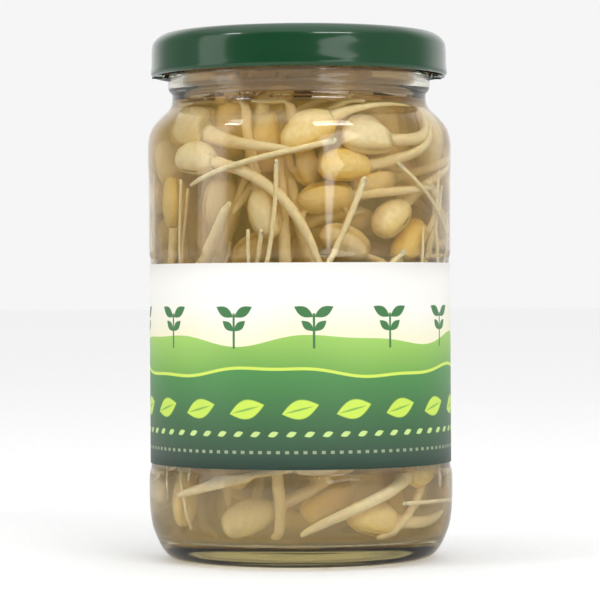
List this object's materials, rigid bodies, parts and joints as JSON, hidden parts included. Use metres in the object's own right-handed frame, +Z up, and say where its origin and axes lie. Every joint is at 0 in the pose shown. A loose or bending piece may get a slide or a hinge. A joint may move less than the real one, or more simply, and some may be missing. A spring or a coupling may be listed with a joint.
{
  "type": "jar of bean sprouts",
  "caption": "Round preserving jar of soybean sprouts in brine, with a wrap-round paper label and a metal twist-off lid that turns and rises on its thread.",
  "frame": {"origin": "centre of the ring that the jar stands on", "axes": "+Z up through the lid; the front of the jar faces -Y"},
  "size_m": [0.0722, 0.0722, 0.1245],
  "materials": {
    "glass": "clear, faintly green, smooth",
    "lid_lacquer": "glossy dark green lacquer on tinplate",
    "liner": "soft off-white sealing compound",
    "label_paper": "coated printed paper in green bands",
    "brine": "clear amber liquid",
    "sprout": "pale yellow, waxy and slightly translucent"
  },
  "bodies": {
    "jar": {"jar_glass": "glass", "label": "label_paper", "brine": "brine", "sprouts_01": "sprout", "sprouts_02": "sprout", "sprouts_03": "sprout", "sprouts_04": "sprout", "sprouts_05": "sprout", "sprouts_06": "sprout", "sprouts_07": "sprout", "sprouts_08": "sprout", "sprouts_09": "sprout", "sprouts_10": "sprout", "sprouts_11": "sprout", "sprouts_12": "sprout", "sprouts_13": "sprout", "sprouts_14": "sprout", "sprouts_15": "sprout", "sprouts_16": "sprout", "sprouts_17": "sprout", "sprouts_18": "sprout", "sprouts_19": "sprout", "sprouts_20": "sprout", "sprouts_21": "sprout", "sprouts_22": "sprout", "sprouts_23": "sprout", "sprouts_24": "sprout", "sprouts_25": "sprout", "sprouts_26": "sprout", "sprouts_27": "sprout", "sprouts_28": "sprout", "sprouts_29": "sprout", "sprouts_30": "sprout", "sprouts_31": "sprout", "sprouts_32": "sprout", "sprouts_33": "sprout", "sprouts_34": "sprout", "sprouts_35": "sprout", "sprouts_36": "sprout", "sprouts_37": "sprout", "sprouts_38": "sprout", "sprouts_39": "sprout", "sprouts_40": "sprout", "sprouts_41": "sprout", "sprouts_42": "sprout", "sprouts_43": "sprout", "sprouts_44": "sprout", "sprouts_45": "sprout", "sprouts_46": "sprout", "sprouts_47": "sprout", "sprouts_48": "sprout", "sprouts_49": "sprout", "sprouts_50": "sprout", "sprouts_51": "sprout", "sprouts_52": "sprout", "sprouts_53": "sprout"},
    "liner": {"lid_liner": "liner"},
    "lid": {"lid": "lid_lacquer"}
  },
  "joints": [
    {"name": "lid_rise", "type": "slide", "parent": "jar", "child": "liner", "axis": [0, 0, 1], "range_m": [0, 0.00185]},
    {"name": "lid_twist", "type": "hinge", "parent": "liner", "child": "lid", "pos_m": [0, 0, 0.119], "axis": [0, 0, 1], "range_deg": [0, 75]}
  ],
  "couplings": [
    {"joint": "lid_rise", "follows": "lid_twist", "m_per_rad": 0.001375}
  ]
}
